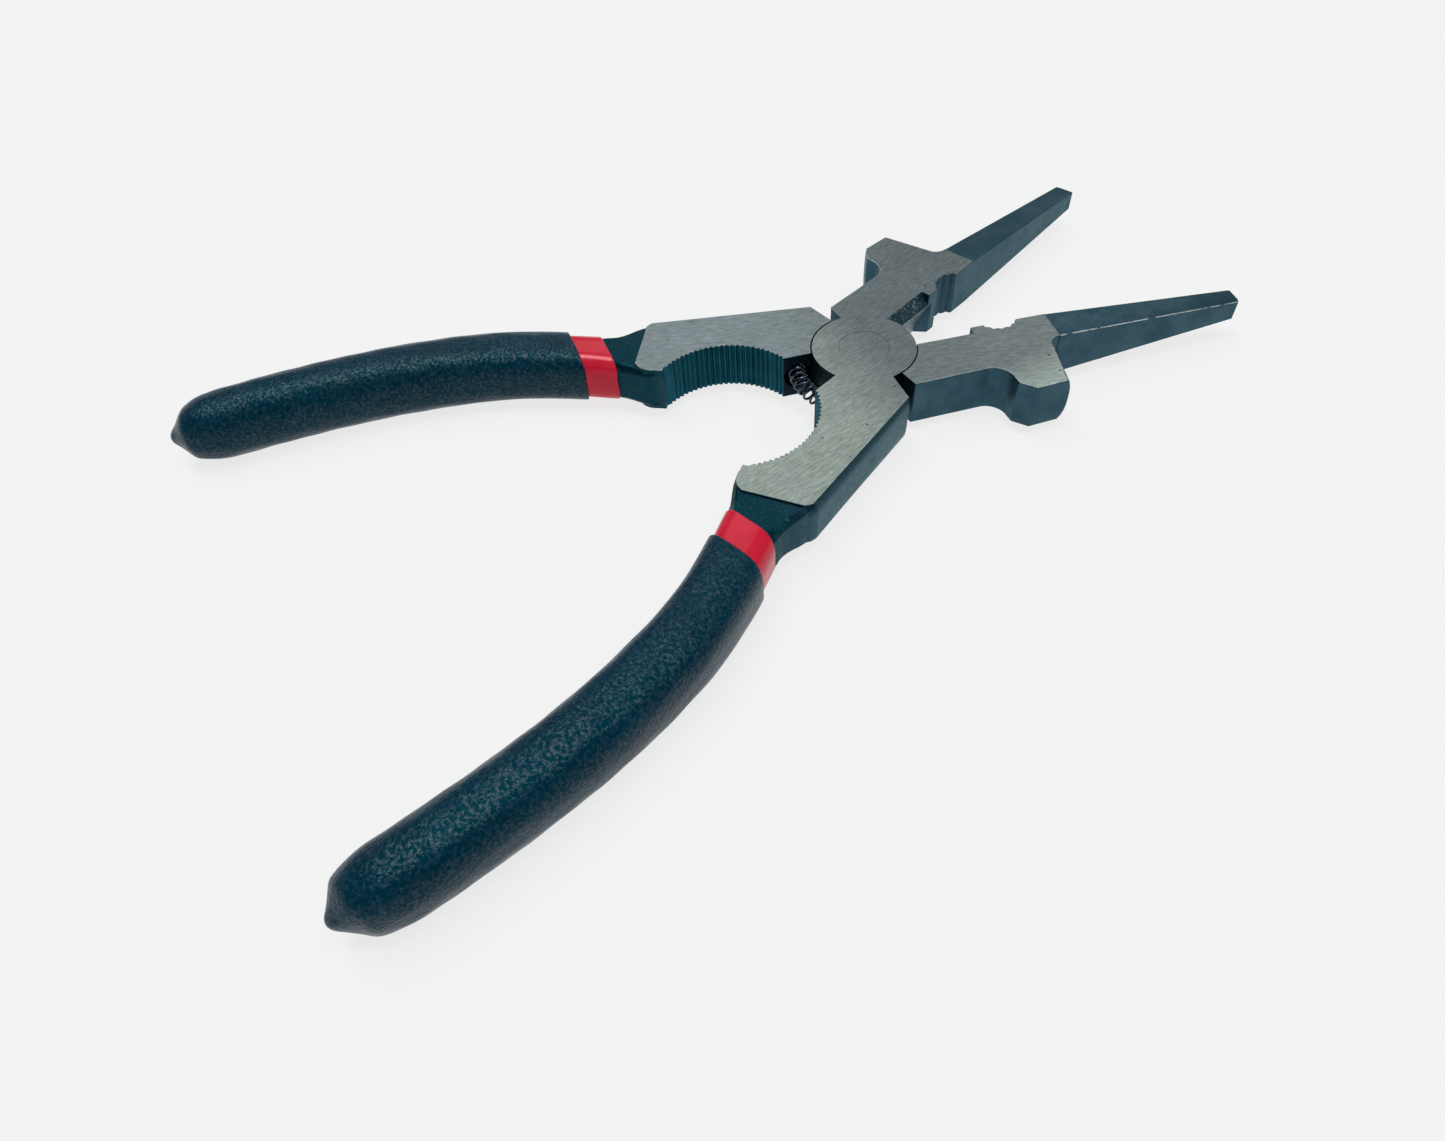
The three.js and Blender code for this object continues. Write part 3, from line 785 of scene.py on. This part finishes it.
def dark_vinyl(name):
    """Dipped vinyl with a fine leathery wrinkle. Its crests are scuffed, so they shine greyer."""
    n = Nodes(name)
    wrinkle = n.noise(n.place(), 1750, 3, 0.6)
    fine = n.noise(n.place(), 4800, 2, 0.6)
    cloud = n.noise(n.place(), 90, 2, 0.5)
    crest = n.span(wrinkle, 0.44, 0.64)
    tone = n.mix(n.span(cloud, 0.35, 0.65), rgb(0, 34, 50), rgb(0, 40, 57))
    tone = n.mix(n.span(crest, 0.0, 1.0, 0.0, 0.4), tone, rgb(12, 54, 74))
    sheen = n.mix(crest, rgb(0, 128, 130), rgb(226, 250, 250))
    rough = n.span(fine, 0.3, 0.7, 0.22, 0.32)
    normal = n.bump(wrinkle, 1.0, 0.00017)
    normal = n.bump(fine, 0.3, 0.00005, normal)
    n.set(Base_Color=tone, Roughness=rough, Normal=normal)
    return n.set(Specular_IOR_Level=0.36, Specular_Tint=sheen)


def red_vinyl(name):
    """Red dipped vinyl, satin and a little uneven."""
    n = Nodes(name)
    cloud = n.noise(n.place(), 220, 3, 0.5)
    fine = n.noise(n.place(), 2600, 2, 0.6)
    tone = n.mix(n.span(cloud, 0.35, 0.65), rgb(188, 26, 47), rgb(199, 33, 58))
    tone = n.mix(n.span(fine, 0.6, 0.8, 0.0, 0.3), tone, rgb(168, 18, 38))
    rough = n.span(fine, 0.3, 0.7, 0.15, 0.22)
    normal = n.bump(cloud, 0.12, 0.0003)
    normal = n.bump(fine, 0.03, 0.00002, normal)
    tint = rgb(255, 190, 200)
    return n.set(Base_Color=tone, Roughness=rough, Normal=normal, Specular_IOR_Level=0.4, Specular_Tint=tint)


def spring_wire(name):
    """Blackened drawn wire with a satin sheen."""
    n = Nodes(name)
    streak = n.noise(n.place(), 2200, 3, 0.6)
    tone = n.mix(n.span(streak, 0.4, 0.7), rgb(30, 42, 56), rgb(104, 120, 136))
    rough = n.span(streak, 0.3, 0.7, 0.16, 0.26)
    return n.set(Base_Color=tone, Metallic=1.0, Roughness=rough, Normal=n.bump(streak, 0.15, 0.00002))


oxide = black_oxide("black oxide steel")
edge = worn_edge("worn oxide edge")
bevel = cutter_bevel("cutter bevel steel")
groove = groove_oxide_and_recess_shade("groove oxide", (0, 68, 84), (12, 84, 98))
# Painted shade: the near-black tones of the recesses by the spring and under the other lever's boss.
deep = groove_oxide_and_recess_shade("painted recess shade", (2, 20, 30), (8, 30, 40))
GRAIN = {"a": math.radians(8), "b": math.radians(-20)}
# Painted light: each lever's ground tones are lighter or darker by region, by how its ground faces catch the light.
NEAR_PAINTED_LIGHT_TONES = (146, 156, 149), (107, 117, 119), (107, 117, 119)
FAR_PAINTED_LIGHT_TONES = (130, 141, 143), (117, 126, 126), (156, 167, 160)
for letter, tones in (("a", NEAR_PAINTED_LIGHT_TONES), ("b", FAR_PAINTED_LIGHT_TONES)):
    ground = ground_steel(f"ground steel {letter}", GRAIN[letter], *tones)
    finishes = (ground, oxide, edge, bevel, groove, deep)
    for index, material in enumerate(finishes):
        pieces[f"lever_{letter}"].data.materials[index] = material
vinyl, red = dark_vinyl("dark dipped vinyl"), red_vinyl("red dipped vinyl")
for letter in "ab":
    pieces[f"grip_{letter}"].data.materials.append(vinyl)
    pieces[f"sleeve_{letter}"].data.materials.append(red)
pieces["rivet"].data.materials.append(ground_steel("ground rivet steel", GRAIN["a"], *NEAR_PAINTED_LIGHT_TONES))
pieces["spring"].data.materials.append(spring_wire("blackened spring wire"))

# ------------------------------------------------------------------ floor, light and camera

floor_mesh = bpy.data.meshes.new("floor")
far, under = 40.0, cad_box[0].z - 0.0002
corners = [(-far, -far, under), (far, -far, under), (far, far, under), (-far, far, under)]
floor_mesh.from_pydata(corners, [], [(0, 1, 2, 3)])
floor = bpy.data.objects.new("floor", floor_mesh)
bpy.context.scene.collection.objects.link(floor)
paper = Nodes("pale paper")
paper.set(Base_Color=(0.11, 0.11, 0.11, 1), Roughness=1.0, Specular_IOR_Level=0.0)
paper.set(Emission_Color=(1, 1, 1, 1), Emission_Strength=0.778)
floor_mesh.materials.append(paper.material)


def panel(name, direction, distance, width, height, power, turn=0):
    """A soft panel light that faces the middle of the pliers. Its width runs along X, turned by turn."""
    light = bpy.data.lights.new(name, "AREA")
    light.shape = "RECTANGLE"
    light.size, light.size_y = width, height
    light.energy = power
    made = bpy.data.objects.new(name, light)
    bpy.context.scene.collection.objects.link(made)
    back = Vector(direction).normalized()
    up = back.cross(Vector((1, 0, 0))).normalized()
    facing = Matrix((up.cross(back), up, back)).transposed() @ Matrix.Rotation(math.radians(turn), 3, "Z")
    made.matrix_world = Matrix.Translation(back * distance) @ facing.to_4x4()


panel("overhead strip", (-0.18, -0.16, 0.90), 0.93, 0.72, 0.17, 4.9)
panel("right strip", (0.20, 0.09, 0.90), 0.93, 0.42, 0.17, 2.3, turn=66)
panel("back right panel", (0.42, 0.58, 0.70), 1.15, 0.3, 0.22, 1.5)
panel("left fill", (-0.66, 0.36, 0.68), 1.2, 0.7, 0.7, 1.55)
panel("back panel", (-0.40, 0.71, 0.57), 1.1, 0.3, 0.3, 0.56)
panel("front fill", (0.62, -0.48, 0.62), 1.2, 0.5, 0.5, 0.9)
panel("low fill", (-0.48, -0.62, 0.62), 1.2, 0.7, 0.7, 0.4)

world = bpy.data.worlds.new("studio")
world.use_nodes = True
tree = world.node_tree
direction = tree.nodes.new("ShaderNodeSeparateXYZ")
tree.links.new(tree.nodes.new("ShaderNodeTexCoord").outputs["Generated"], direction.inputs[0])
sky = tree.nodes.new("ShaderNodeValToRGB")
tree.links.new(direction.outputs["Z"], sky.inputs[0])
stops = sky.color_ramp.elements
stops[0].color, stops[1].color = (0.78, 0.78, 0.78, 1), (0.115, 0.149, 0.16, 1)
stops[1].position = 0.9
between = {0.1: (0.4, 0.45, 0.46, 1), 0.3: (0.08, 0.1, 0.11, 1), 0.42: (0.028, 0.036, 0.038, 1)}
for height, colour in between.items():
    stops.new(height).color = colour
tree.links.new(sky.outputs[0], tree.nodes["Background"].inputs[0])
bpy.context.scene.world = world
bpy.context.scene.view_settings.view_transform = "Standard"

camera_data = bpy.data.cameras.new("camera")
camera_data.lens = 24.75
camera_data.sensor_width = 36.0
camera_data.clip_start = 0.005
camera = bpy.data.objects.new("camera", camera_data)
bpy.context.scene.collection.objects.link(camera)
right = Vector((0.4991, 0.8653, -0.0462)).normalized()
back = Vector((0.5688, -0.2869, 0.7708)).normalized()
up = back.cross(right).normalized()
right = up.cross(back)
camera.matrix_world = Matrix((
    (right.x, up.x, back.x, 0.1216),
    (right.y, up.y, back.y, -0.0948),
    (right.z, up.z, back.z, 0.1290),
    (0, 0, 0, 1),
))
bpy.context.scene.camera = camera
